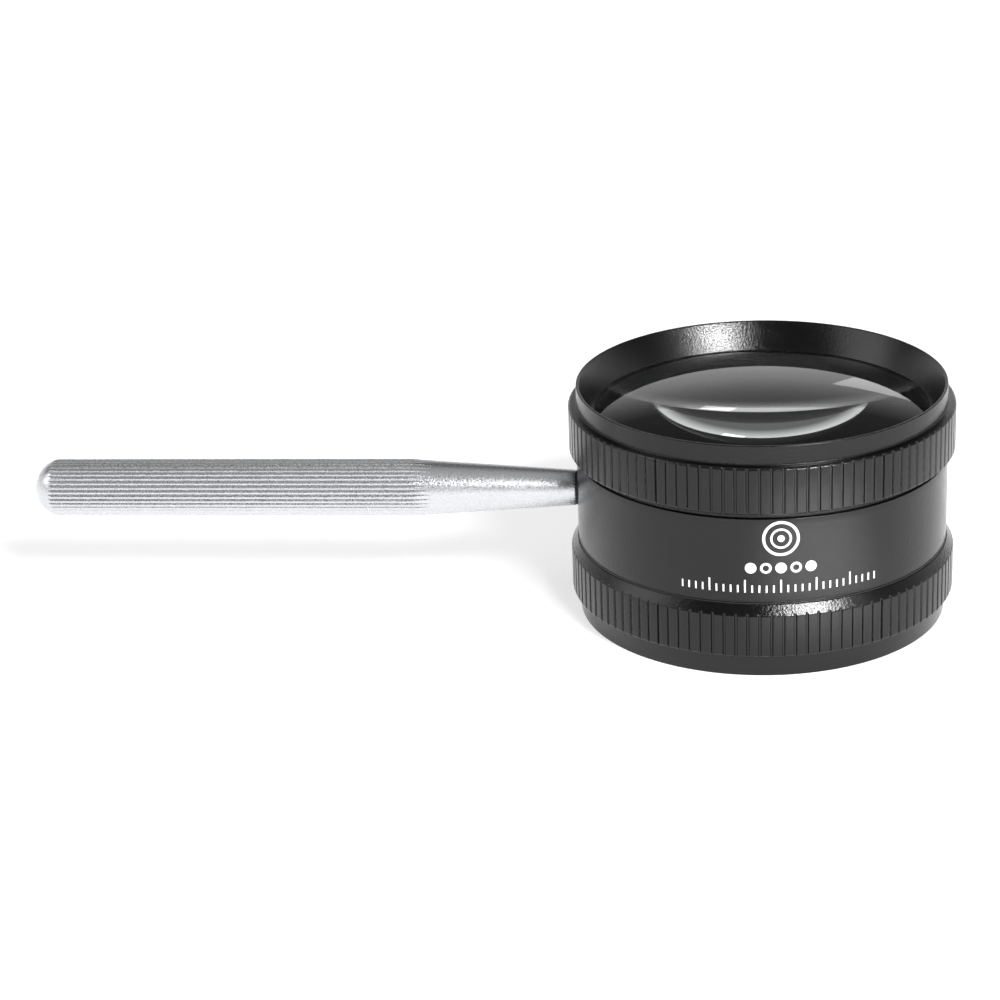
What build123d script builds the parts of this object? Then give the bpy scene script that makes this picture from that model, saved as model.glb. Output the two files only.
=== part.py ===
"""A hand-held viewing loupe: two 50 mm lenses in a short tube, with knurled screw rings and a handle.

Millimetres, +Z up along the optical axis. The origin is the centre of the foot, on the plane that
the loupe stands on. The handle points along -X.
"""

import os
from math import sqrt

from build123d import *

# Heights of the screw rings, from the plane the loupe stands on
TOTAL_HEIGHT = 34.5
TOP_KNURL_LOW = 24.7
TOP_KNURL_HIGH = 31.4
BOTTOM_KNURL_LOW = 3.3
BOTTOM_KNURL_HIGH = 9.55
OPTICAL_CENTRE = 17.7

# Radii of the body
KNURL_RADIUS = 28.0
RIM_RADIUS = 26.8
CREST_WIDTH = 0.4
BARREL_RADIUS = 26.95
THREAD_MAJOR_RADIUS = 26.5
THREAD_PITCH = 0.75
THREAD_DEPTH = 0.6 * THREAD_PITCH
LIP_RADIUS = 24.3

# Lenses
LENS_RADIUS = 25.0
LENS_EDGE_THICKNESS = 2.2
OUTER_CURVE = 110.0
INNER_CURVE = 120.0

# Fits and small gaps
PILOT_CLEARANCE = 0.05
LENS_CLEARANCE = 0.05
RUNNING_GAP = 0.05

# Screw rings
LIP_HALF_SPAN = 12.8
LIP_THICKNESS = 0.1
LIP_WALL_RADIUS = 24.55
SLIP_RING_THICKNESS = 0.15
SLIP_RECESS_RADIUS = 25.3
SHOULDER_BELOW_LIP = 0.3
THREAD_LENGTH = 3.5
LEDGE_CHAMFER = 0.3
EDGE_CHAMFER = 0.25
UNDERSIDE_CHAMFER = 0.35
SHOULDER_CHAMFER_WIDTH = 0.95
SHOULDER_CHAMFER_HEIGHT = 1.45
FOOT_OPENING_RADIUS = 25.6
EDGE_ROUND = 0.15

# Ring knurl
KNURL_COUNT = 106
KNURL_DEPTH = 0.2
KNURL_TOP_WIDTH = 0.46
KNURL_ROOT_WIDTH = 0.26

# Barrel
BARREL_END_GAP = 0.2
SHOULDER_OVERLAP = 1.5
RELIEF_HEIGHT = 0.9
RELIEF_DEPTH = 0.5
LINE_GROOVE_HEIGHT = 11.35
LINE_GROOVE_WIDTH = 0.25
LINE_GROOVE_DEPTH = 0.12
SPOT_FACE_RADIUS = 2.7
SPOT_FACE_DEPTH = 0.15

# Spacer tube
SPACER_INNER_RADIUS = 23.6
GLARE_GROOVE_DEPTH = 0.4
GLARE_GROOVE_PITCH = 1.0
GLARE_GROOVES_EACH_END = 6

# Handle, measured from the optical axis
HANDLE_RADIUS = 4.2
HANDLE_END = 108.6
TAPER_START = 51.5
NECK_RADIUS = 2.62
DOME_LENGTH = 3.2
HANDLE_KNURL_COUNT = 36
HANDLE_KNURL_DEPTH = 0.22

# Handle fixing
STUD_RADIUS = 1.95
STUD_HOLE_RADIUS = 2.0
STUD_TIP = 23.9
SHANK_RADIUS = 1.5
SHANK_LENGTH = 8.0
WASHER_RADIUS = 2.5
WASHER_BORE_RADIUS = 2.05
WASHER_THICKNESS = 0.28
SEAT_GAP = 0.02


def sagitta(curve, radius):
    """Depth of a spherical surface of radius `curve`, from its middle out to `radius`."""
    return curve - sqrt(curve**2 - radius**2)


def turned(points):
    """A solid of revolution about Z from (radius, height) points."""
    return revolve(Plane.XZ * make_face(Polyline(*points, close=True)), Axis.Z)


def arc_points(start, end, curve, from_above):
    """Start, middle and end of a spherical lens surface, as (radius, height) points."""
    (r1, z1), (r2, _) = start, end
    middle_radius = (r1 + r2) / 2
    top = z1 + sagitta(curve, r1) if from_above else z1 - sagitta(curve, r1)
    fall = sagitta(curve, middle_radius)
    return start, (middle_radius, top - fall if from_above else top + fall), end


def ring_grooves(low, high):
    """The knurl's grooves, one cutter for each, between two heights."""
    outside = KNURL_RADIUS + 1.0
    root = KNURL_RADIUS - KNURL_DEPTH
    flare = (KNURL_TOP_WIDTH - KNURL_ROOT_WIDTH) / 2 / KNURL_DEPTH
    half_root = KNURL_ROOT_WIDTH / 2
    half_out = half_root + flare * (outside - root)
    corners = [(root, -half_root), (outside, -half_out), (outside, half_out), (root, half_root)]
    groove = Pos(0, 0, low) * extrude(make_face(Polyline(*corners, close=True)), high - low)
    return [Rot(0, 0, 360 * (i + 0.5) / KNURL_COUNT) * groove for i in range(KNURL_COUNT)]


# Heights that follow from the driving dimensions
LIP_EDGE = OPTICAL_CENTRE + LIP_HALF_SPAN
LIP_UNDERSIDE = LIP_EDGE - LIP_THICKNESS
RING_SHOULDER = LIP_UNDERSIDE - SHOULDER_BELOW_LIP
BARREL_END = RING_SHOULDER - BARREL_END_GAP
THREAD_START = RING_SHOULDER - THREAD_LENGTH
PILOT_RADIUS = BARREL_RADIUS + PILOT_CLEARANCE
SLIP_INNER_RADIUS = LIP_WALL_RADIUS + RUNNING_GAP
LENS_APEX = LIP_UNDERSIDE - RUNNING_GAP + sagitta(OUTER_CURVE, LIP_RADIUS)
SLIP_LOW = LENS_APEX - sagitta(OUTER_CURVE, SLIP_INNER_RADIUS) + RUNNING_GAP
SLIP_HIGH = SLIP_LOW + SLIP_RING_THICKNESS
SLIP_RECESS_TOP = SLIP_HIGH + RUNNING_GAP
LENS_EDGE_HIGH = LENS_APEX - sagitta(OUTER_CURVE, LENS_RADIUS)
LENS_EDGE_LOW = LENS_EDGE_HIGH - LENS_EDGE_THICKNESS
LENS_INNER_APEX = LENS_EDGE_LOW - sagitta(INNER_CURVE, LENS_RADIUS)
SPACER_END = LENS_INNER_APEX + sagitta(INNER_CURVE, SPACER_INNER_RADIUS) - SEAT_GAP


def below(height):
    """The same height on the lower half: the optics and threads are symmetrical about their centre."""
    return 2 * OPTICAL_CENTRE - height


def make_top_ring():
    crest_inner = RIM_RADIUS - CREST_WIDTH
    ledge = TOP_KNURL_HIGH + LEDGE_CHAMFER
    body = turned(
        [
            (PILOT_RADIUS, TOP_KNURL_LOW),
            (KNURL_RADIUS - UNDERSIDE_CHAMFER, TOP_KNURL_LOW),
            (KNURL_RADIUS, TOP_KNURL_LOW + UNDERSIDE_CHAMFER),
            (KNURL_RADIUS, TOP_KNURL_HIGH),
            (KNURL_RADIUS - LEDGE_CHAMFER, ledge),
            (RIM_RADIUS, ledge),
            (RIM_RADIUS, TOTAL_HEIGHT - EDGE_ROUND),
            (RIM_RADIUS - EDGE_ROUND, TOTAL_HEIGHT),
            (crest_inner, TOTAL_HEIGHT),
            (LIP_RADIUS, LIP_EDGE),
            (LIP_RADIUS, LIP_UNDERSIDE),
            (LIP_WALL_RADIUS, LIP_UNDERSIDE),
            (LIP_WALL_RADIUS, SLIP_RECESS_TOP),
            (SLIP_RECESS_RADIUS, SLIP_RECESS_TOP),
            (SLIP_RECESS_RADIUS, RING_SHOULDER),
            (THREAD_MAJOR_RADIUS, RING_SHOULDER),
            (THREAD_MAJOR_RADIUS, THREAD_START),
            (PILOT_RADIUS, THREAD_START),
        ]
    )
    return body - ring_grooves(TOP_KNURL_LOW - 1.0, ledge + 1.0)


def make_bottom_ring():
    ring_top = BOTTOM_KNURL_HIGH + SHOULDER_CHAMFER_HEIGHT
    body = turned(
        [
            (PILOT_RADIUS, ring_top),
            (KNURL_RADIUS - SHOULDER_CHAMFER_WIDTH, ring_top),
            (KNURL_RADIUS, BOTTOM_KNURL_HIGH),
            (KNURL_RADIUS, BOTTOM_KNURL_LOW + EDGE_CHAMFER),
            (KNURL_RADIUS - EDGE_CHAMFER, BOTTOM_KNURL_LOW),
            (RIM_RADIUS, BOTTOM_KNURL_LOW),
            (RIM_RADIUS, EDGE_ROUND),
            (RIM_RADIUS - EDGE_ROUND, 0),
            (FOOT_OPENING_RADIUS, 0),
            (LIP_RADIUS, below(LIP_EDGE)),
            (LIP_RADIUS, below(LIP_UNDERSIDE)),
            (LIP_WALL_RADIUS, below(LIP_UNDERSIDE)),
            (LIP_WALL_RADIUS, below(SLIP_RECESS_TOP)),
            (SLIP_RECESS_RADIUS, below(SLIP_RECESS_TOP)),
            (SLIP_RECESS_RADIUS, below(RING_SHOULDER)),
            (THREAD_MAJOR_RADIUS, below(RING_SHOULDER)),
            (THREAD_MAJOR_RADIUS, below(THREAD_START)),
            (PILOT_RADIUS, below(THREAD_START)),
        ]
    )
    return body - ring_grooves(BOTTOM_KNURL_LOW - 1.0, ring_top + 1.0)


def make_barrel():
    root = THREAD_MAJOR_RADIUS - THREAD_DEPTH
    bore = LENS_RADIUS + LENS_CLEARANCE
    shoulder_high = TOP_KNURL_LOW + SHOULDER_OVERLAP
    shoulder_low = below(THREAD_START) + 0.1
    groove_low = LINE_GROOVE_HEIGHT - LINE_GROOVE_WIDTH / 2
    groove_high = LINE_GROOVE_HEIGHT + LINE_GROOVE_WIDTH / 2
    groove_root = BARREL_RADIUS - LINE_GROOVE_DEPTH
    relief_low = TOP_KNURL_LOW - RELIEF_HEIGHT
    relief_root = BARREL_RADIUS - RELIEF_DEPTH
    tube = turned(
        [
            (bore, below(BARREL_END)),
            (root, below(BARREL_END)),
            (root, shoulder_low),
            (BARREL_RADIUS, shoulder_low),
            (BARREL_RADIUS, groove_low),
            (groove_root, groove_low),
            (groove_root, groove_high),
            (BARREL_RADIUS, groove_high),
            (BARREL_RADIUS, relief_low),
            (relief_root, relief_low),
            (relief_root, TOP_KNURL_LOW),
            (BARREL_RADIUS, TOP_KNURL_LOW),
            (BARREL_RADIUS, shoulder_high),
            (root, shoulder_high),
            (root, BARREL_END),
            (bore, BARREL_END),
        ]
    )
    spot_face = along_handle(SPOT_FACE_RADIUS, BARREL_RADIUS - SPOT_FACE_DEPTH, BARREL_RADIUS + 2.0)
    return tube - stud_hole() - spot_face


def along_handle(radius, start, end):
    """A cylinder on the handle's axis, between two distances from the optical axis."""
    return Pos(-start, 0, OPTICAL_CENTRE) * Rot(0, -90, 0) * Cylinder(
        radius, end - start, align=(Align.CENTER, Align.CENTER, Align.MIN)
    )


def stud_hole():
    """The tapped hole for the handle, through the barrel and the spacer behind it."""
    return along_handle(STUD_HOLE_RADIUS, SPACER_INNER_RADIUS - 2.0, BARREL_RADIUS + 2.0)


def make_spacer_tube():
    """Black tube between the lenses, grooved inside except for a plain land at the handle's stud."""
    top_groove = SPACER_END - GLARE_GROOVE_PITCH
    upper = [top_groove - i * GLARE_GROOVE_PITCH for i in range(GLARE_GROOVES_EACH_END)]
    heights = sorted(upper + [below(height) for height in upper])
    points = [(LENS_RADIUS, SPACER_END), (LENS_RADIUS, below(SPACER_END))]
    points.append((SPACER_INNER_RADIUS, below(SPACER_END)))
    for height in heights:
        points += [
            (SPACER_INNER_RADIUS, height - GLARE_GROOVE_DEPTH),
            (SPACER_INNER_RADIUS + GLARE_GROOVE_DEPTH, height),
            (SPACER_INNER_RADIUS, height + GLARE_GROOVE_DEPTH),
        ]
    points.append((SPACER_INNER_RADIUS, SPACER_END))
    return turned(points) - stud_hole()


def make_upper_lens():
    outer = arc_points((LENS_RADIUS, LENS_EDGE_HIGH), (0, LENS_APEX), OUTER_CURVE, True)
    inner = arc_points((LENS_RADIUS, LENS_EDGE_LOW), (0, LENS_INNER_APEX), INNER_CURVE, False)
    outline = [
        ThreePointArc(*outer),
        Line(outer[2], inner[2]),
        ThreePointArc(*inner),
        Line(inner[0], outer[0]),
    ]
    return revolve(Plane.XZ * make_face(outline), Axis.Z)


def make_upper_slip_ring():
    inner = SLIP_INNER_RADIUS
    outer = SLIP_RECESS_RADIUS - 2 * RUNNING_GAP
    return turned([(inner, SLIP_LOW), (outer, SLIP_LOW), (outer, SLIP_HIGH), (inner, SLIP_HIGH)])


def mirrored(shape):
    """The lower twin of an upper piece, mirrored about the optical centre plane."""
    return mirror(shape, about=Plane.XY.offset(OPTICAL_CENTRE))


WASHER_FACE = BARREL_RADIUS - SPOT_FACE_DEPTH + SEAT_GAP
NECK_FACE = WASHER_FACE + WASHER_THICKNESS + SEAT_GAP


def make_handle():
    """Turned about the handle's own axis, drawn as (distance, radius) and laid along -X."""
    dome_start = HANDLE_END - DOME_LENGTH
    outline = [
        Line((NECK_FACE, 0), (NECK_FACE, NECK_RADIUS)),
        Line((NECK_FACE, NECK_RADIUS), (TAPER_START, HANDLE_RADIUS)),
        Line((TAPER_START, HANDLE_RADIUS), (dome_start, HANDLE_RADIUS)),
        TangentArc((HANDLE_END, 0), (dome_start, HANDLE_RADIUS), tangent=(0, 1)),
        Line((HANDLE_END, 0), (NECK_FACE, 0)),
    ]
    rod = revolve(Plane.XZ * make_face(outline), Axis.X)
    groove = handle_groove()
    cutters = [Rot(360 * (i + 0.5) / HANDLE_KNURL_COUNT, 0, 0) * groove for i in range(HANDLE_KNURL_COUNT)]
    rod -= cutters
    placed = Pos(0, 0, OPTICAL_CENTRE) * Rot(0, 0, 180) * rod
    return placed - along_handle(SHANK_RADIUS, NECK_FACE - 1.0, NECK_FACE + SHANK_LENGTH)


def handle_groove():
    """One V-groove of the handle's straight knurl, running out into the taper and over the dome."""
    root = HANDLE_RADIUS - HANDLE_KNURL_DEPTH
    outside = HANDLE_RADIUS + 1.0
    half_width = outside - root
    profile = make_face(Polyline((root, 0), (outside, half_width), (outside, -half_width), close=True))
    start = TAPER_START - 6.0
    length = HANDLE_END + 1.0 - start
    across = Plane(origin=(start, 0, 0), x_dir=(0, 0, 1), z_dir=(1, 0, 0))
    return extrude(across * profile, length)


def make_handle_stud():
    thread = along_handle(STUD_RADIUS, STUD_TIP, NECK_FACE)
    return thread + along_handle(SHANK_RADIUS, NECK_FACE - 0.1, NECK_FACE + SHANK_LENGTH)


def make_handle_washer():
    disc = along_handle(WASHER_RADIUS, WASHER_FACE, WASHER_FACE + WASHER_THICKNESS)
    return disc - along_handle(WASHER_BORE_RADIUS, WASHER_FACE - 1.0, WASHER_FACE + 1.0)


upper_lens = make_upper_lens()
upper_slip_ring = make_upper_slip_ring()
pieces = {
    "barrel": make_barrel(),
    "spacer_tube": make_spacer_tube(),
    "upper_lens": upper_lens,
    "lower_lens": mirrored(upper_lens),
    "upper_slip_ring": upper_slip_ring,
    "lower_slip_ring": mirrored(upper_slip_ring),
    "top_ring": make_top_ring(),
    "bottom_ring": make_bottom_ring(),
    "handle": make_handle(),
    "handle_stud": make_handle_stud(),
    "handle_washer": make_handle_washer(),
}

os.makedirs("parts", exist_ok=True)
for name, shape in pieces.items():
    export_step(shape, f"parts/{name}.step")
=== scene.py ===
"""Looks of the viewing loupe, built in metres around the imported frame.

The loupe stands on its foot ring at z = 0, with the optical axis on Z and the handle along -X.
"""

import math

import bmesh
import bpy
from mathutils import Euler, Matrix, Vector


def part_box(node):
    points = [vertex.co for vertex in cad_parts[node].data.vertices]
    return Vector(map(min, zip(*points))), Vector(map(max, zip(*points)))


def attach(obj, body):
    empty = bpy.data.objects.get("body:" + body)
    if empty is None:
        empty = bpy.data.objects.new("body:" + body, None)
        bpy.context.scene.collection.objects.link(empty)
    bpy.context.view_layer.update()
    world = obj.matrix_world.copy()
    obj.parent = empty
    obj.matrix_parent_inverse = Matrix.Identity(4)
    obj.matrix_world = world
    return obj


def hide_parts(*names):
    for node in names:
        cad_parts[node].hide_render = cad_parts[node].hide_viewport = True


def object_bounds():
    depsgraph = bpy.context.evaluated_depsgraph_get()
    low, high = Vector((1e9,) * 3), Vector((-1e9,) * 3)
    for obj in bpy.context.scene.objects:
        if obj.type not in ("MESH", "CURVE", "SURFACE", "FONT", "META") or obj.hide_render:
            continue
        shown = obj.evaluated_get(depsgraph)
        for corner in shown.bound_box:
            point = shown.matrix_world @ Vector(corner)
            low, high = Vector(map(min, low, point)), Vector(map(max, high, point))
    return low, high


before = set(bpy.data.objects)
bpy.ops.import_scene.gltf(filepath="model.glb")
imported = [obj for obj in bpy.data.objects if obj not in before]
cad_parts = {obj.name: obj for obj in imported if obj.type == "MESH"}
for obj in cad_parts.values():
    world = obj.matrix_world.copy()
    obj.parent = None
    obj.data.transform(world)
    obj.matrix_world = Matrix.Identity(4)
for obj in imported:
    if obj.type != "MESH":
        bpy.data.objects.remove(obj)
cad_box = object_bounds()

MM = 0.001

# --------------------------------------------------------------------------------------------------
# Sizes, worked out from the frame, in metres
# --------------------------------------------------------------------------------------------------


def reach(node, axis, end):
    """How far a node reaches along one axis: end 0 is its low side, end 1 its high side."""
    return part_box(node)[end][axis]


BARREL_RADIUS = reach("barrel", 0, 1)
BARREL_LOW = reach("barrel", 2, 0)
BARREL_HIGH = reach("barrel", 2, 1)
OPTICAL_CENTRE = (BARREL_LOW + BARREL_HIGH) / 2
KNURL_RADIUS = reach("top_ring", 0, 1)
TOP_RING_LOW = reach("top_ring", 2, 0)
TOP_RING_HIGH = reach("top_ring", 2, 1)
BOTTOM_RING_HIGH = reach("bottom_ring", 2, 1)
LENS_RADIUS = reach("upper_lens", 0, 1)
HANDLE_AXIS = (reach("handle", 2, 0) + reach("handle", 2, 1)) / 2
HANDLE_RADIUS = (reach("handle", 2, 1) - reach("handle", 2, 0)) / 2
HANDLE_END = -reach("handle", 0, 0)
NECK_FACE = -reach("handle", 0, 1)

# Details of the turned parts, as machined
SPACER_RADIUS = LENS_RADIUS - 1.4 * MM
THREAD_MAJOR = 26.5 * MM
THREAD_ROOT = 26.05 * MM
THREAD_PITCH = 0.75 * MM
THREAD_CLEARANCE = 0.05 * MM
THREAD_DEPTH = THREAD_MAJOR - THREAD_ROOT - THREAD_CLEARANCE
LENS_OUTER_CURVE = 110 * MM
LENS_INNER_CURVE = 120 * MM

# Two radii nearer than this are the same surface
SAME_RADIUS = 1e-7

# --------------------------------------------------------------------------------------------------
# Materials
# --------------------------------------------------------------------------------------------------


def linear(hex_colour):
    """An sRGB hex colour as linear RGBA."""
    parts = [int(hex_colour[i : i + 2], 16) / 255 for i in (1, 3, 5)]
    return tuple(c / 12.92 if c <= 0.04045 else ((c + 0.055) / 1.055) ** 2.4 for c in parts) + (1.0,)


def add(tree, kind, inputs=None, stops=(), **settings):
    """Adds a node. `inputs` gives each socket a value, or another node's output to link from.

    `stops` are (position, grey level) pairs, for a node that has a colour ramp.
    """
    made = tree.nodes.new(kind)
    for key, value in settings.items():
        setattr(made, key, value)
    for key, value in (inputs or {}).items():
        if isinstance(value, bpy.types.NodeSocket):
            tree.links.new(value, made.inputs[key])
        else:
            made.inputs[key].default_value = value
    if stops:
        elements = made.color_ramp.elements
        while len(elements) < len(stops):
            elements.new(0.5)
        for element, (position, level) in zip(elements, stops):
            element.position = position
            element.color = (level, level, level, 1.0)
    return made


def new_material(name):
    """A new material, its node tree, and the output that gives a point's place in metres."""
    material = bpy.data.materials.new(name)
    material.use_nodes = True
    tree = material.node_tree
    tree.nodes.clear()
    return material, tree, add(tree, "ShaderNodeTexCoord").outputs["Object"]


def mottling(place, size_mm, detail=2.0):
    """Inputs for a noise whose features are about `size_mm` across."""
    return {"Vector": place, "Scale": 1 / (size_mm * MM), "Detail": detail, "Roughness": 0.6}


def black_anodised(name, base, roughness, grain_mm, grain_depth_mm):
    """Black anodised aluminium, bead blasted before the bath.

    The dyed film is a dark dielectric: nearly black face on, pale where it is seen edge on, and the
    blasted grain breaks the edge of each highlight into sparkling specks. Its IOR is below that of
    solid alumina, which keeps the gloss soft. The grain is finer in life, and is drawn coarser here so
    that it shows.
    """
    material, tree, place = new_material(name)
    fine = add(tree, "ShaderNodeTexNoise", mottling(place, grain_mm))
    cloudy = add(tree, "ShaderNodeTexNoise", mottling(place, 4.0))
    gloss = add(
        tree,
        "ShaderNodeMapRange",
        {
            "Value": cloudy.outputs["Fac"],
            "From Min": 0.3,
            "From Max": 0.7,
            "To Min": roughness - 0.03,
            "To Max": roughness + 0.03,
        },
    )
    bump = add(
        tree,
        "ShaderNodeBump",
        {"Height": fine.outputs["Fac"], "Distance": grain_depth_mm * MM, "Strength": 1.0},
    )
    shader = add(
        tree,
        "ShaderNodeBsdfPrincipled",
        {
            "Base Color": linear(base),
            "Roughness": gloss.outputs["Result"],
            "IOR": 1.43,
            "Normal": bump.outputs["Normal"],
        },
    )
    add(tree, "ShaderNodeOutputMaterial", {"Surface": shader.outputs[0]})
    return material


def satin_aluminium():
    """Bead-blasted aluminium with a satin sheen.

    Each blasted pit is a small mirror at its own angle, so the metal glitters softly where light falls
    across it. It stays bright where it faces the light and mid grey below. The pits are finer in life,
    and are drawn at 0.3 mm so that they show.
    """
    material, tree, place = new_material("satin_blasted_aluminium")
    pits = add(tree, "ShaderNodeTexNoise", mottling(place, 0.3, 3.0))
    gloss = add(
        tree,
        "ShaderNodeMapRange",
        {"Value": pits.outputs["Fac"], "From Min": 0.3, "From Max": 0.7, "To Min": 0.22, "To Max": 0.36},
    )
    bump = add(
        tree,
        "ShaderNodeBump",
        {"Height": pits.outputs["Fac"], "Distance": 0.035 * MM, "Strength": 1.0},
    )
    shader = add(
        tree,
        "ShaderNodeBsdfPrincipled",
        {
            "Base Color": linear("#D0D1D4"),
            "Metallic": 1.0,
            "Roughness": gloss.outputs["Result"],
            "Normal": bump.outputs["Normal"],
        },
    )
    add(tree, "ShaderNodeOutputMaterial", {"Surface": shader.outputs[0]})
    return material


def optical_glass():
    """Polished crown glass with a ground edge blacked with ink.

    The polished faces are clear and mirror-like. The ground edge is dark, so no white ring shows
    round the lens.
    """
    material, tree, place = new_material("polished_crown_glass")
    flat = add(tree, "ShaderNodeVectorMath", {0: place, 1: (1.0, 1.0, 0.0)}, operation="MULTIPLY")
    radius = add(tree, "ShaderNodeVectorMath", {0: flat.outputs["Vector"]}, operation="LENGTH")
    edge = add(
        tree,
        "ShaderNodeMapRange",
        {
            "Value": radius.outputs["Value"],
            "From Min": LENS_RADIUS - 0.06 * MM,
            "From Max": LENS_RADIUS - 0.02 * MM,
        },
    )
    ground = add(tree, "ShaderNodeTexNoise", mottling(place, 0.1))
    bump = add(tree, "ShaderNodeBump", {"Height": ground.outputs["Fac"], "Distance": 0.01 * MM})
    ink = add(
        tree,
        "ShaderNodeBsdfPrincipled",
        {"Base Color": linear("#0B0B0C"), "Roughness": 0.7, "Normal": bump.outputs["Normal"]},
    )
    glass = add(
        tree,
        "ShaderNodeBsdfPrincipled",
        {"Base Color": linear("#FCFEFD"), "Roughness": 0.0, "IOR": 1.517, "Transmission Weight": 1.0},
    )
    mix = add(
        tree,
        "ShaderNodeMixShader",
        {0: edge.outputs["Result"], 1: glass.outputs[0], 2: ink.outputs[0]},
    )
    add(tree, "ShaderNodeOutputMaterial", {"Surface": mix.outputs[0]})
    return material


def black_nylon():
    """Moulded black nylon: dull, with the faint mottling of a moulded skin."""
    material, tree, place = new_material("moulded_black_nylon")
    skin = add(tree, "ShaderNodeTexNoise", mottling(place, 0.4))
    bump = add(tree, "ShaderNodeBump", {"Height": skin.outputs["Fac"], "Distance": 0.01 * MM})
    shader = add(
        tree,
        "ShaderNodeBsdfPrincipled",
        {
            "Base Color": linear("#141415"),
            "Roughness": 0.55,
            "IOR": 1.53,
            "Normal": bump.outputs["Normal"],
        },
    )
    add(tree, "ShaderNodeOutputMaterial", {"Surface": shader.outputs[0]})
    return material


def zinc_plated_steel():
    """Turned steel with bright zinc: fine turning lines round the stud and a faint blue-grey cast."""
    material, tree, place = new_material("zinc_plated_steel")
    along = add(tree, "ShaderNodeVectorMath", {0: place, 1: (1.0, 0.05, 0.05)}, operation="MULTIPLY")
    lines = add(tree, "ShaderNodeTexNoise", mottling(along.outputs["Vector"], 0.08))
    bump = add(tree, "ShaderNodeBump", {"Height": lines.outputs["Fac"], "Distance": 0.004 * MM})
    shader = add(
        tree,
        "ShaderNodeBsdfPrincipled",
        {
            "Base Color": linear("#C9CCD0"),
            "Metallic": 1.0,
            "Roughness": 0.28,
            "Normal": bump.outputs["Normal"],
        },
    )
    add(tree, "ShaderNodeOutputMaterial", {"Surface": shader.outputs[0]})
    return material


def white_print():
    """Screen-printed white ink: flat white, with a faint unevenness from the mesh of the screen."""
    material, tree, place = new_material("white_screen_ink")
    weave = add(tree, "ShaderNodeTexNoise", mottling(place, 0.2))
    tone = add(tree, "ShaderNodeValToRGB", {"Fac": weave.outputs["Fac"]}, stops=[(0.3, 0.78), (0.7, 0.88)])
    shader = add(tree, "ShaderNodeBsdfPrincipled", {"Base Color": tone.outputs["Color"], "Roughness": 0.5})
    add(tree, "ShaderNodeOutputMaterial", {"Surface": shader.outputs[0]})
    return material


BLACK = black_anodised(
    "black_anodised_semi_gloss", base="#080809", roughness=0.17, grain_mm=0.3, grain_depth_mm=0.045
)
MATT_BLACK = black_anodised(
    "matt_black_anodised", base="#080808", roughness=0.6, grain_mm=0.3, grain_depth_mm=0.01
)
SATIN = satin_aluminium()
GLASS = optical_glass()
NYLON = black_nylon()
ZINC = zinc_plated_steel()
INK = white_print()

# --------------------------------------------------------------------------------------------------
# Turning meshes
# --------------------------------------------------------------------------------------------------


SHARP_EDGE_DEGREES = 35


def smooth(mesh, sharp_degrees=SHARP_EDGE_DEGREES):
    """Smooth shading, broken at edges that turn by more than `sharp_degrees`."""
    mesh.polygons.foreach_set("use_smooth", [True] * len(mesh.polygons))
    mesh.set_sharp_from_angle(angle=math.radians(sharp_degrees))


def mesh_object(name, vertices, faces, material, sharp_degrees=SHARP_EDGE_DEGREES):
    """A new object in the scene, with its faces turned outward."""
    mesh = bpy.data.meshes.new(name)
    mesh.from_pydata(vertices, [], faces)
    facing = bmesh.new()
    facing.from_mesh(mesh)
    bmesh.ops.recalc_face_normals(facing, faces=facing.faces)
    facing.to_mesh(mesh)
    facing.free()
    smooth(mesh, sharp_degrees)
    mesh.materials.append(material)
    piece = bpy.data.objects.new(name, mesh)
    bpy.context.scene.collection.objects.link(piece)
    return piece


def upright(radius, distance, angle):
    """A point turned about the optical axis: distance is its height."""
    return (radius * math.cos(angle), radius * math.sin(angle), distance)


def along_handle(radius, distance, angle):
    """A point turned about the handle's axis: distance is measured from the optical axis."""
    return (-distance, radius * math.cos(angle), HANDLE_AXIS + radius * math.sin(angle))


def turn(
    name,
    profile,
    angles,
    material,
    shape=None,
    place=upright,
    closed=True,
    sharp_degrees=SHARP_EDGE_DEGREES,
):
    """Turns (radius, distance) points round an axis, which `place` gives.

    A point with radius 0 becomes one vertex. `shape` may change the radius from point to point. A
    profile that starts and ends on the axis isn't `closed`.
    """
    vertices, rows = [], []
    for radius, distance in profile:
        if radius == 0:
            rows.append([len(vertices)] * len(angles))
            vertices.append(place(0, distance, 0))
            continue
        rows.append(list(range(len(vertices), len(vertices) + len(angles))))
        for angle in angles:
            here = shape(radius, distance, angle) if shape else radius
            vertices.append(place(here, distance, angle))
    faces = []
    for index, row in enumerate(rows if closed else rows[:-1]):
        following = rows[(index + 1) % len(rows)]
        for column in range(len(angles)):
            beside = (column + 1) % len(angles)
            corners = dict.fromkeys((row[column], row[beside], following[beside], following[column]))
            if len(corners) > 2:
                faces.append(tuple(corners))
    return mesh_object(name, vertices, faces, material, sharp_degrees)


def even_angles(count):
    return [2 * math.pi * i / count for i in range(count)]


def steps_between(start, end, count):
    """The values from start to end in `count` equal steps, both ends included."""
    return [start + (end - start) * k / count for k in range(count + 1)]


def stand_in(piece, node, body):
    """The piece takes the place of its CAD node and rides on the node's body."""
    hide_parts(node)
    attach(piece, body)
    return piece


def eased(corners, size, steps=3):
    """A closed loop of corners with each corner eased by an arc of about `size`.

    Corners and size are in millimetres. The loop that it gives is in metres.
    """
    out = []
    for i, corner in enumerate(corners):
        here = Vector(corner) * MM
        before = Vector(corners[i - 1]) * MM - here
        after = Vector(corners[(i + 1) % len(corners)]) * MM - here
        start = here + before.normalized() * min(size * MM, before.length * 0.4)
        end = here + after.normalized() * min(size * MM, after.length * 0.4)
        for step in range(steps + 1):
            t = step / steps
            point = start * (1 - t) ** 2 + here * 2 * t * (1 - t) + end * t**2
            out.append((point.x, point.y))
    return out


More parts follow.
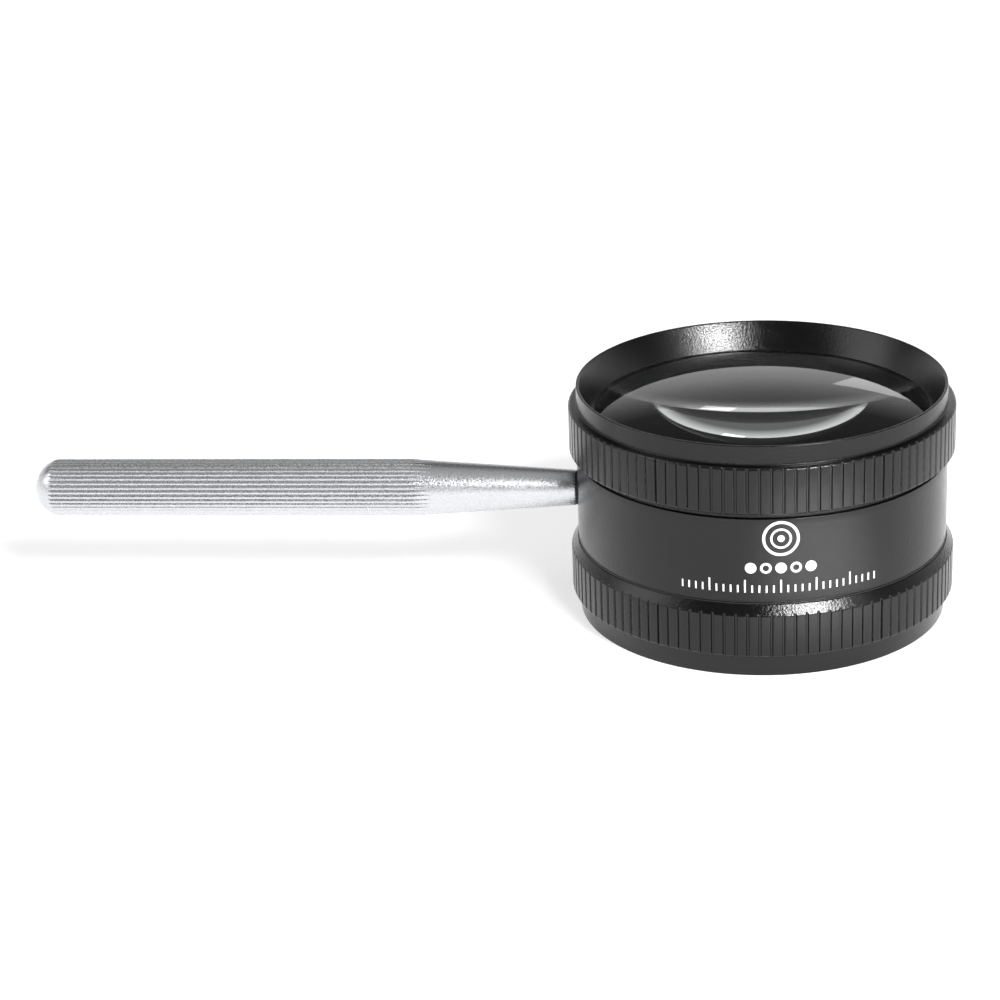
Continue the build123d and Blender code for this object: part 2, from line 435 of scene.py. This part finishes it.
def finer(profile, low, high, step):
    """Splits the straight runs of a closed loop that lie between two radii."""
    out = []
    for i, (r, z) in enumerate(profile):
        out.append((r, z))
        r_next, z_next = profile[(i + 1) % len(profile)]
        if min(r, r_next) > low - SAME_RADIUS and max(r, r_next) < high + SAME_RADIUS:
            count = max(1, round(math.hypot(r_next - r, z_next - z) / step))
            out += [(r + (r_next - r) * k / count, z + (z_next - z) * k / count) for k in range(1, count)]
    return out


# A thread's flank, in half pitches from the middle of the crest: where it meets the root, and its width
FLANK_END = 0.82
FLANK_WIDTH = 0.64

# Ends for a thread that doesn't run out within the loupe
NO_RUN_OUT = (-1, 1)


def thread(distance, angle, pitch, depth, low, high, sense=1):
    """Height of a right-hand thread above its root: flats on crest and root, run out at both ends.

    `sense` is -1 on the handle's axis, where distance runs against the frame's X.
    """
    phase = (distance / pitch - sense * angle / (2 * math.pi)) % 1
    wave = min(1.0, max(0.0, (FLANK_END - abs(2 * phase - 1)) / FLANK_WIDTH))
    run_out = min(1.0, max(0.0, (distance - low) / pitch), max(0.0, (high - distance) / pitch))
    return depth * wave * run_out


def cut(piece, cutters):
    """Cuts holes in a piece, and smooths it again with the holes' edges left sharp."""
    for cutter in cutters:
        bite = piece.modifiers.new("hole", "BOOLEAN")
        bite.object = cutter
        bite.operation = "DIFFERENCE"
        bite.solver = "EXACT"
    bitten = piece.evaluated_get(bpy.context.evaluated_depsgraph_get())
    result = bpy.data.meshes.new_from_object(bitten)
    piece.modifiers.clear()
    piece.data = result
    smooth(result)
    return piece


def groove_angles(count, radius, across):
    """Columns for a row of grooves: `across` gives their places in millimetres from each groove's middle."""
    pitch = 2 * math.pi / count
    offsets = sorted({side * t * MM / radius for t in across for side in (-1, 1)})
    return [(i + 0.5) * pitch + offset for i in range(count) for offset in offsets]


def from_groove(angle, count, radius):
    """How far round the piece the middle of the nearest groove is."""
    pitch = 2 * math.pi / count
    return abs((angle / pitch) % 1 - 0.5) * pitch * radius


# --------------------------------------------------------------------------------------------------
# Lenses
# --------------------------------------------------------------------------------------------------


LENS_STEPS = 96


def sagitta(curve, radius):
    """How far a sphere of radius `curve` falls away at `radius` from its top."""
    return curve - math.sqrt(curve**2 - radius**2)


def lens(name, node, outward):
    """A lens with spherical faces. `outward` is 1 where the outer face looks up and -1 where down."""
    outer_apex = reach(node, 2, 1 if outward > 0 else 0)
    inner_apex = reach(node, 2, 0 if outward > 0 else 1)
    steps = [math.sin(math.pi / 2 * i / LENS_STEPS) * LENS_RADIUS for i in range(LENS_STEPS + 1)]
    outer = [(r, outer_apex - outward * sagitta(LENS_OUTER_CURVE, r)) for r in steps]
    inner = [(r, inner_apex + outward * sagitta(LENS_INNER_CURVE, r)) for r in steps]
    piece = turn(name, outer + inner[::-1], even_angles(256), GLASS, closed=False, sharp_degrees=25)
    return stand_in(piece, node, "barrel")


lens("upper_lens_glass", "upper_lens", 1)
lens("lower_lens_glass", "lower_lens", -1)

# --------------------------------------------------------------------------------------------------
# Screw rings
# --------------------------------------------------------------------------------------------------

KNURL_COUNT = 106
KNURL_DEPTH = 0.2 * MM
KNURL_TOP = 0.23 * MM
KNURL_ROOT = 0.13 * MM
KNURL_EASE = 0.1 * MM
KNURL_EASE_DEPTH = 0.03 * MM
KNURL_COLUMNS = [0.0, 0.08, 0.13, 0.18, 0.23, 0.26, 0.3, 0.35, 0.5, 0.65]

# The rings' surfaces, in millimetres. The thread's ends are measured from the lip.
KNURL_MM = 28.0
RIM_MM = 26.8
LIP_MM = 24.3
LIP_THICKNESS_MM = 0.1
LIP_WALL_MM = 24.55
RECESS_MM = 25.3
PILOT_MM = 27.0
RUNNING_GAP_MM = 0.05
THREAD_START_MM = 0.4
THREAD_END_MM = 3.9
RING_EASE_MM = 0.12
TOP_LIP_MM = 30.5
BOTTOM_LIP_MM = 4.9
FOOT_BAND_MM = 3.3


def knurled(radius, distance, angle):
    """The knurl cuts into whatever stands further out than the groove at this angle."""
    off = from_groove(angle, KNURL_COUNT, KNURL_RADIUS)
    if off <= KNURL_ROOT:
        limit = KNURL_RADIUS - KNURL_DEPTH
    elif off <= KNURL_TOP:
        flank = KNURL_DEPTH * (KNURL_TOP - off) / (KNURL_TOP - KNURL_ROOT)
        limit = KNURL_RADIUS - flank - KNURL_EASE_DEPTH
    else:
        limit = KNURL_RADIUS - KNURL_EASE_DEPTH * max(0.0, 1 - (off - KNURL_TOP) / KNURL_EASE) ** 2
    return min(radius, limit)


def ring_shape(low, high):
    """The knurl outside, and the thread inside that matches the barrel's."""

    def shape(radius, distance, angle):
        if abs(radius - THREAD_MAJOR) < SAME_RADIUS:
            male = thread(distance, angle, THREAD_PITCH, THREAD_DEPTH, *NO_RUN_OUT)
            from_low, from_high = (distance - low) / THREAD_PITCH, (high - distance) / THREAD_PITCH
            return THREAD_MAJOR - (THREAD_DEPTH - male) * min(1.0, max(0.0, from_low), max(0.0, from_high))
        return knurled(radius, distance, angle)

    return shape


def screw_ring(name, node, outside, lip, slip_face, inward):
    """A ring that holds a lens: the corners of its outside, then its lip, slip face and thread.

    `inward` is the way from the lip to the barrel: -1 is down and 1 is up.
    """
    thread_start, thread_end = lip + inward * THREAD_START_MM, lip + inward * THREAD_END_MM
    corners = outside + [
        (LIP_MM, lip),
        (LIP_MM, lip + inward * LIP_THICKNESS_MM),
        (LIP_WALL_MM, lip + inward * LIP_THICKNESS_MM),
        (LIP_WALL_MM, slip_face),
        (RECESS_MM, slip_face),
        (RECESS_MM, thread_start),
        (THREAD_MAJOR / MM, thread_start),
        (THREAD_MAJOR / MM, thread_end),
        (PILOT_MM, thread_end),
    ]
    profile = finer(eased(corners, RING_EASE_MM), THREAD_MAJOR, THREAD_MAJOR, THREAD_PITCH / 10)
    profile = finer(profile, KNURL_RADIUS - 1 * MM, KNURL_RADIUS - 0.01 * MM, 0.08 * MM)
    shape = ring_shape(*sorted((thread_start * MM, thread_end * MM)))
    columns = groove_angles(KNURL_COUNT, KNURL_RADIUS, KNURL_COLUMNS)
    return stand_in(turn(name, profile, columns, BLACK, shape), node, node)


def top_ring():
    """The eye end: knurl, a plain rim above it, and a wide bevel down to the lip."""
    low, high = TOP_RING_LOW / MM, TOP_RING_HIGH / MM
    knurl_high = high - 3.1
    outside = [
        (PILOT_MM, low),
        (KNURL_MM - 0.35, low),
        (KNURL_MM, low + 0.35),
        (KNURL_MM, knurl_high),
        (KNURL_MM - 0.3, knurl_high + 0.3),
        (RIM_MM, knurl_high + 0.3),
        (RIM_MM, high),
        (RIM_MM - 0.4, high),
    ]
    slip_face = reach("upper_slip_ring", 2, 1) / MM + RUNNING_GAP_MM
    return screw_ring("top_ring_black", "top_ring", outside, TOP_LIP_MM, slip_face, -1)


def bottom_ring():
    """The foot end: a long chamfer over the knurl, and the plain band that the loupe stands on."""
    high = BOTTOM_RING_HIGH / MM
    outside = [
        (PILOT_MM, high),
        (KNURL_MM - 0.95, high),
        (KNURL_MM, high - 1.45),
        (KNURL_MM, FOOT_BAND_MM + 0.25),
        (KNURL_MM - 0.25, FOOT_BAND_MM),
        (RIM_MM, FOOT_BAND_MM),
        (RIM_MM, 0.0),
        (RIM_MM - 1.2, 0.0),
    ]
    slip_face = reach("lower_slip_ring", 2, 0) / MM - RUNNING_GAP_MM
    return screw_ring("bottom_ring_black", "bottom_ring", outside, BOTTOM_LIP_MM, slip_face, 1)


top_ring()
bottom_ring()

# --------------------------------------------------------------------------------------------------
# Barrel, spacer and slip rings
# --------------------------------------------------------------------------------------------------

STUD_PITCH = 0.7 * MM
STUD_DEPTH = 0.38 * MM
STUD_RADIUS = reach("handle_stud", 2, 1) - HANDLE_AXIS
STUD_CLEARANCE = 0.05 * MM
SLIP_BORE_MM = 24.6
WASHER_BORE_MM = 2.05


def hole_plug():
    """The threaded hole for the handle's stud, as the solid to cut away."""
    start, end = SPACER_RADIUS - 3 * MM, BARREL_RADIUS + 2 * MM
    count = round((end - start) / (STUD_PITCH / 10))
    root = STUD_RADIUS - STUD_DEPTH + STUD_CLEARANCE
    wall = [(root, distance) for distance in steps_between(start, end, count)]
    profile = [(0, start)] + wall + [(0, end)]

    def shape(radius, distance, angle):
        return radius + thread(distance, angle, STUD_PITCH, STUD_DEPTH, *NO_RUN_OUT, -1)

    return turn("hole_plug", profile, even_angles(48), BLACK, shape, along_handle, closed=False)


def spot_face_plug():
    """The shallow flat seat that the handle's washer bears on, as the solid to cut away."""
    low, radius, length = BARREL_RADIUS - 0.15 * MM, 2.7 * MM, 3 * MM
    profile = [(0, low), (radius, low), (radius, low + length), (0, low + length)]
    return turn("spot_face_plug", profile, even_angles(96), BLACK, None, along_handle, closed=False)


def barrel(plugs):
    """The tube, with a thread at each end, a scribed line low down and a relief under the top ring."""
    low, high = BARREL_LOW / MM, BARREL_HIGH / MM
    wall_low, wall_high = 8.9, 26.2
    line_low, line_high = 11.225, 11.475
    relief_low, relief_high = 23.8, 24.7
    bore, root, wall, line, relief = 25.05, THREAD_ROOT / MM, 26.95, 26.83, 26.45
    corners = [
        (bore, low),
        (root, low),
        (root, wall_low),
        (wall, wall_low),
        (wall, line_low),
        (line, line_low),
        (line, line_high),
        (wall, line_high),
        (wall, relief_low),
        (relief, relief_low),
        (relief, relief_high),
        (wall, relief_high),
        (wall, wall_high),
        (root, wall_high),
        (root, high),
        (bore, high),
    ]
    profile = finer(eased(corners, 0.08), THREAD_ROOT, THREAD_ROOT, THREAD_PITCH / 10)
    profile = finer(profile, BARREL_RADIUS, BARREL_RADIUS, 1.0 * MM)

    def shape(radius, distance, angle):
        if abs(radius - THREAD_ROOT) > SAME_RADIUS:
            return radius
        ends = (low * MM, wall_low * MM) if distance < OPTICAL_CENTRE else (wall_high * MM, high * MM)
        return radius + thread(distance, angle, THREAD_PITCH, THREAD_DEPTH, *ends)

    piece = turn("barrel_black", profile, even_angles(360), BLACK, shape)
    return stand_in(cut(piece, plugs), "barrel", "barrel")


def spacer(plugs):
    """Anti-glare tube: a row of sharp V-grooves at each end, with a plain land at the stud."""
    low, high = reach("spacer_tube", 2, 0) / MM, reach("spacer_tube", 2, 1) / MM
    outer, inner, groove = 25.0, 23.6, 0.4
    corners = [(outer, high), (outer, low), (inner, low)]
    middles = [low + 1.0 + i for i in range(6)] + [high - 6.0 + i for i in range(6)]
    for middle in middles:
        corners += [(inner, middle - groove), (inner + groove, middle), (inner, middle + groove)]
    corners.append((inner, high))
    piece = turn("spacer_tube_black", eased(corners, 0.04, 1), even_angles(300), MATT_BLACK)
    return stand_in(cut(piece, plugs), "spacer_tube", "barrel")


def plain_ring(name, node, body, material, place=upright):
    """A thin ring or washer with eased edges, the size of its CAD node."""
    low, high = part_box(node)
    if place is upright:
        outer, start, end = high.x / MM, low.z / MM, high.z / MM
        inner = SLIP_BORE_MM
    else:
        outer, start, end = high.y / MM, -high.x / MM, -low.x / MM
        inner = WASHER_BORE_MM
    corners = [(inner, start), (outer, start), (outer, end), (inner, end)]
    piece = turn(name, eased(corners, 0.04), even_angles(240), material, None, place)
    return stand_in(piece, node, body)


plug, spot_face = hole_plug(), spot_face_plug()
barrel([spot_face, plug])
spacer([plug])
bpy.data.objects.remove(plug)
bpy.data.objects.remove(spot_face)
plain_ring("upper_slip_ring_nylon", "upper_slip_ring", "top_slip", NYLON)
plain_ring("lower_slip_ring_nylon", "lower_slip_ring", "bottom_slip", NYLON)
plain_ring("handle_washer_nylon", "handle_washer", "handle_seat", NYLON, along_handle)

# --------------------------------------------------------------------------------------------------
# Handle and its stud
# --------------------------------------------------------------------------------------------------

GRIP_COUNT = 36
GRIP_DEPTH = 0.22 * MM
GRIP_EASE = 0.09 * MM
GRIP_EASE_DEPTH = 0.04 * MM
GRIP_COLUMNS = [0.0, 0.03, 0.08, 0.14, 0.19, 0.23, 0.27, 0.31]
TAPER_START = 51.5 * MM
DOME_LENGTH = 3.2 * MM
NECK_RADIUS = 2.62 * MM
NECK_CHAMFER = 0.1 * MM
SOCKET_RADIUS = 1.5 * MM
SOCKET_DEPTH = 7.9 * MM
SHANK_RADIUS = 1.48 * MM
TAPER_STEPS = 120
GRIP_STEPS = 12
DOME_STEPS = 28


def gripped(radius, distance, angle):
    """V-grooves along the handle, with eased edges. They run out in the taper and over the end."""
    if distance <= TAPER_START - 9 * MM:
        return radius
    off = from_groove(angle, GRIP_COUNT, HANDLE_RADIUS)
    flank = HANDLE_RADIUS - GRIP_DEPTH + off
    ease = GRIP_EASE_DEPTH * max(0.0, 1 - abs(off - GRIP_DEPTH) / GRIP_EASE) ** 2
    return min(radius, min(flank, HANDLE_RADIUS) - ease)


def handle():
    """One turned rod: the stud's socket, the neck, the taper, the straight grip and the domed end."""
    socket_end = NECK_FACE + SOCKET_DEPTH
    profile = [(0, socket_end), (SOCKET_RADIUS, socket_end), (SOCKET_RADIUS, NECK_FACE)]
    profile += [(2.5 * MM, NECK_FACE), (NECK_RADIUS, NECK_FACE + NECK_CHAMFER)]
    radii = steps_between(NECK_RADIUS, HANDLE_RADIUS, TAPER_STEPS)
    profile += list(zip(radii, steps_between(NECK_FACE, TAPER_START, TAPER_STEPS)))[1:]
    grip = steps_between(TAPER_START, HANDLE_END - DOME_LENGTH, GRIP_STEPS)
    profile += [(HANDLE_RADIUS, distance) for distance in grip[1:]]
    crown = (HANDLE_RADIUS**2 + DOME_LENGTH**2) / (2 * DOME_LENGTH)
    widest = math.asin(HANDLE_RADIUS / crown)
    for k in range(1, DOME_STEPS):
        swing = widest * (1 - k / DOME_STEPS)
        profile.append((crown * math.sin(swing), HANDLE_END - crown * (1 - math.cos(swing))))
    profile.append((0, HANDLE_END))
    columns = groove_angles(GRIP_COUNT, HANDLE_RADIUS, GRIP_COLUMNS)
    piece = turn("handle_satin", profile, columns, SATIN, gripped, along_handle, False, 24)
    return stand_in(piece, "handle", "handle")


def stud():
    """Threaded into the barrel, with a plain shank fixed in the handle's socket."""
    tip, root = -reach("handle_stud", 0, 1), STUD_RADIUS - STUD_DEPTH
    end = -reach("handle_stud", 0, 0) - 0.15 * MM
    count = round((NECK_FACE - tip) / (STUD_PITCH / 10))
    threaded = [(root, distance) for distance in steps_between(tip, NECK_FACE, count)]
    shank = [(SHANK_RADIUS, NECK_FACE), (SHANK_RADIUS, end), (0, end)]
    profile = [(0, tip), (root - 0.3 * MM, tip)] + threaded + shank

    def shape(radius, distance, angle):
        if abs(radius - root) > SAME_RADIUS:
            return radius
        return radius + thread(distance, angle, STUD_PITCH, STUD_DEPTH, tip, NECK_FACE, -1)

    piece = turn("handle_stud_zinc", profile, even_angles(96), ZINC, shape, along_handle, False)
    return stand_in(piece, "handle_stud", "handle")


handle()
stud()

# --------------------------------------------------------------------------------------------------
# White marks on the barrel: a ring and dot, a row of dots and a plain millimetre scale
# --------------------------------------------------------------------------------------------------

MARK_BEARING = 6.3
INK_THICKNESS = 0.012 * MM
RING_MARK_HEIGHT = 20.9 * MM
DOT_ROW_HEIGHT = 16.5 * MM
DOT_SPACING = 2.1 * MM
SCALE_FOOT_MM = 12.8
SOLID = 0.01


def wrapped(across, height):
    """A point of the print, laid on the barrel: `across` is measured round it from the print's middle."""
    radius = BARREL_RADIUS + INK_THICKNESS
    angle = math.radians(MARK_BEARING) + across / BARREL_RADIUS
    return (radius * math.sin(angle), -radius * math.cos(angle), height)


def barrel_marks():
    """Flat shapes of ink. Radii, widths and bar heights are in millimetres."""
    vertices, faces = [], []

    def band(inner, outer):
        start = len(vertices)
        for a, b in zip(inner, outer):
            vertices.extend((wrapped(*a), wrapped(*b)))
        for k in range(len(inner) - 1):
            corner = start + 2 * k
            faces.append((corner, corner + 1, corner + 3, corner + 2))

    def circle(across, height, radius):
        turns = [2 * math.pi * k / 48 for k in range(49)]
        return [(across + radius * math.cos(t), height + radius * math.sin(t)) for t in turns]

    def ring_mark(across, height, outer, inner=SOLID):
        band(circle(across, height, inner * MM), circle(across, height, outer * MM))

    def bar(across, low, high, width):
        half = width * MM / 2
        band([(across - half, low), (across - half, high)], [(across + half, low), (across + half, high)])

    ring_mark(0, RING_MARK_HEIGHT, 2.6, 2.2)
    ring_mark(0, RING_MARK_HEIGHT, 1.5, 1.2)
    ring_mark(0, RING_MARK_HEIGHT, 0.5)
    for k in range(-2, 3):
        ring_mark(k * DOT_SPACING, DOT_ROW_HEIGHT, 0.8, 0.45 if k % 2 else SOLID)
    for k in range(-14, 15):
        tall = 1.9 if k % 5 == 0 else 1.1
        bar(k * MM, SCALE_FOOT_MM * MM, (SCALE_FOOT_MM + tall) * MM, 0.24)
    piece = mesh_object("barrel_marks_white", vertices, faces, INK)
    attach(piece, "barrel")
    return piece


barrel_marks()

# --------------------------------------------------------------------------------------------------
# Stage, lights and camera
# --------------------------------------------------------------------------------------------------

TABLE_GLOW = 0.6
TABLE_HALF_WIDTH = 3.0
CAMERA_DISTANCE = 0.4216
CAMERA_ELEVATION = 22.14
CAMERA_AZIMUTH = 6.22
CAMERA_ROLL = -2.32
CAMERA_LENS_MM = 102.3
CAMERA_AIM_RIGHT = 1.7 * MM
CAMERA_AIM_DOWN = 1.6 * MM


def stage():
    """A white acrylic light table: it glows evenly, so the shadow under the loupe stays faint."""
    material, tree, place = new_material("white_acrylic_table")
    haze = add(tree, "ShaderNodeTexNoise", mottling(place, 30.0))
    tone = add(tree, "ShaderNodeValToRGB", {"Fac": haze.outputs["Fac"]}, stops=[(0.3, 0.6), (0.7, 0.62)])
    shader = add(
        tree,
        "ShaderNodeBsdfPrincipled",
        {
            "Base Color": tone.outputs["Color"],
            "Roughness": 0.9,
            "Specular IOR Level": 0.0,
            "Emission Color": (1.0, 1.0, 1.0, 1.0),
            "Emission Strength": TABLE_GLOW,
        },
    )
    add(tree, "ShaderNodeOutputMaterial", {"Surface": shader.outputs[0]})
    half = TABLE_HALF_WIDTH
    corners = [(-half, -half, 0), (half, -half, 0), (half, half, 0), (-half, half, 0)]
    floor = mesh_object("floor", corners, [(0, 1, 2, 3)], material)


def bearing(azimuth, elevation):
    """A direction from the loupe: azimuth 0 is -Y, in front of the marks, and 90 is away from the handle."""
    a, e = math.radians(azimuth), math.radians(elevation)
    return Vector((math.sin(a) * math.cos(e), -math.cos(a) * math.cos(e), math.sin(e)))


def aimed(direction, roll):
    """The rotation of a lamp or camera that stands in `direction` and looks back along it."""
    facing = direction.to_track_quat("Z", "Y").to_matrix()
    return (facing @ Euler((0, 0, math.radians(roll))).to_matrix()).to_euler()


def softbox(name, azimuth, elevation, distance, width, height, power, tilt=0):
    """A soft area light aimed at the loupe, placed by its bearing and elevation in degrees."""
    data = bpy.data.lights.new(name, "AREA")
    data.shape = "RECTANGLE"
    data.size, data.size_y = width, height
    data.energy = power
    lamp = bpy.data.objects.new(name, data)
    direction = bearing(azimuth, elevation)
    lamp.location = Vector((0, 0, OPTICAL_CENTRE)) + direction * distance
    lamp.rotation_euler = aimed(direction, tilt)
    bpy.context.scene.collection.objects.link(lamp)


def table_pool(azimuth, away, power):
    """A soft round pool of light on the table, which shows as a pale band down the barrel."""
    data = bpy.data.lights.new("table_pool", "SPOT")
    data.energy = power
    data.spot_size = math.radians(10)
    data.spot_blend = 1.0
    data.shadow_soft_size = 0.01
    lamp = bpy.data.objects.new("table_pool", data)
    a = math.radians(azimuth)
    lamp.location = (away * math.sin(a), -away * math.cos(a), 0.5)
    bpy.context.scene.collection.objects.link(lamp)


def surroundings():
    """A white room round the table, dark from halfway up, and mid grey straight overhead."""
    world = bpy.data.worlds.new("studio")
    bpy.context.scene.world = world
    world.use_nodes = True
    tree = world.node_tree
    tree.nodes.clear()
    place = add(tree, "ShaderNodeTexCoord").outputs["Generated"]
    height = add(tree, "ShaderNodeSeparateXYZ", {0: place}).outputs["Z"]
    stops = [(0.0, 0.95), (0.25, 0.8), (0.45, 0.14), (0.78, 0.12), (0.92, 0.42), (1.0, 0.46)]
    tone = add(tree, "ShaderNodeValToRGB", {"Fac": height}, stops=stops)
    back = add(tree, "ShaderNodeBackground", {"Color": tone.outputs["Color"], "Strength": 1.0})
    add(tree, "ShaderNodeOutputWorld", {"Surface": back.outputs[0]})


def camera():
    low, high = cad_box
    middle = (low + high) / 2
    target = Vector((middle.x + CAMERA_AIM_RIGHT, 0, middle.z - CAMERA_AIM_DOWN))
    back = bearing(CAMERA_AZIMUTH, CAMERA_ELEVATION)
    data = bpy.data.cameras.new("camera")
    data.sensor_width = 36
    data.lens = CAMERA_LENS_MM
    data.clip_start = 0.01
    eye = bpy.data.objects.new("camera", data)
    eye.location = target + back * CAMERA_DISTANCE
    eye.rotation_euler = aimed(back, CAMERA_ROLL)
    bpy.context.scene.collection.objects.link(eye)
    bpy.context.scene.camera = eye


stage()
surroundings()
softbox("key_softbox", azimuth=33, elevation=39, distance=0.9, width=0.34, height=0.15, power=11)
softbox("right_card", azimuth=44, elevation=38, distance=1.2, width=1.0, height=0.8, power=2.4)
softbox("left_card", azimuth=-78, elevation=34, distance=1.2, width=0.7, height=0.8, power=3.5)
softbox("back_card", azimuth=170, elevation=13, distance=0.8, width=0.11, height=0.13, power=0.05, tilt=-10)
table_pool(azimuth=28, away=75 * MM, power=45)
camera()
bpy.context.scene.view_settings.view_transform = "Standard"
